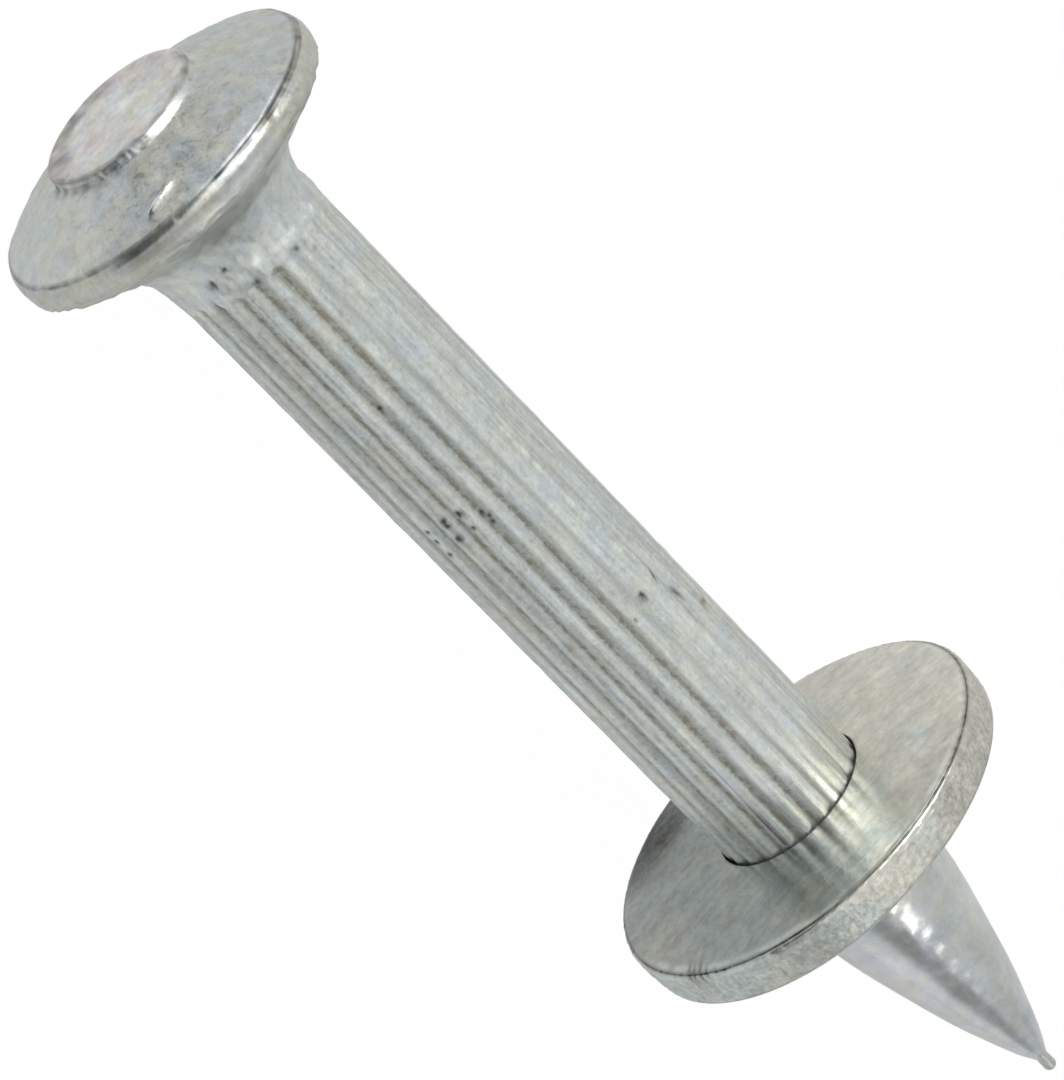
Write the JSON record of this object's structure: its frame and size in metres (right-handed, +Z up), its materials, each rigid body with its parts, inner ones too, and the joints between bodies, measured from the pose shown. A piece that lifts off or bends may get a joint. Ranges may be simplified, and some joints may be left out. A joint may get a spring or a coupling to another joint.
{
  "type": "hammer drive anchor",
  "caption": "Zinc-plated hardened drive pin with a flanged head, a fluted shank, a long sharp point and a round washer pressed on near the point.",
  "frame": {"origin": "on the ground, below the middle of the anchor's length, as it lies on the lip of its head and the rim of its washer", "axes": "+X along the pin from head to point, +Z up from the ground, +Y to the side"},
  "size_m": [0.039, 0.012, 0.012],
  "materials": {
    "pin_zinc": "bright zinc plating over rolled and forged steel, slightly cloudy, semi-gloss",
    "washer_zinc": "bright zinc plating over punched steel, brushed face and rough edge"
  },
  "bodies": {
    "root": {"drive_pin": "pin_zinc", "washer": "washer_zinc"}
  },
  "joints": []
}
